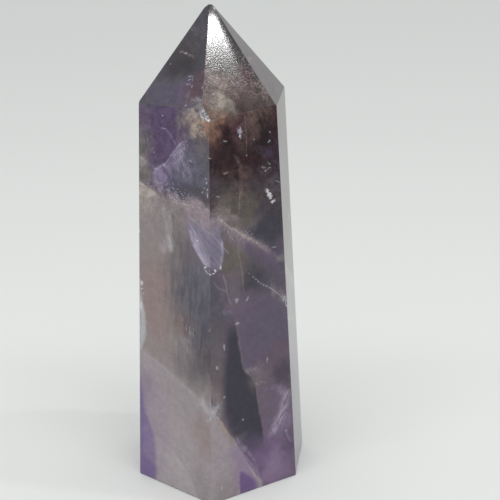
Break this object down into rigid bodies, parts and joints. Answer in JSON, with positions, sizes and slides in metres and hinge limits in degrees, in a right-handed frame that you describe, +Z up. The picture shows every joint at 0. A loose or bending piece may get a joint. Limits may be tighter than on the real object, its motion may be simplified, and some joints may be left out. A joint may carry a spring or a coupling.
{
  "type": "amethyst obelisk",
  "caption": "Polished amethyst obelisk: a tapering six-sided stone tower with a faceted point that stands upright on its flat base as an ornament.",
  "frame": {"origin": "on the flat base, under the middle of the stone", "axes": "+Z up along the tower to its point; X runs across the tower from flat face to flat face and Y from edge to edge, with an edge between two faces towards -Y"},
  "size_m": [0.0276, 0.032, 0.0798],
  "materials": {
    "amethyst": "glassy polish on cloudy violet-grey quartz"
  },
  "bodies": {
    "root": {"obelisk": "amethyst"}
  },
  "joints": []
}
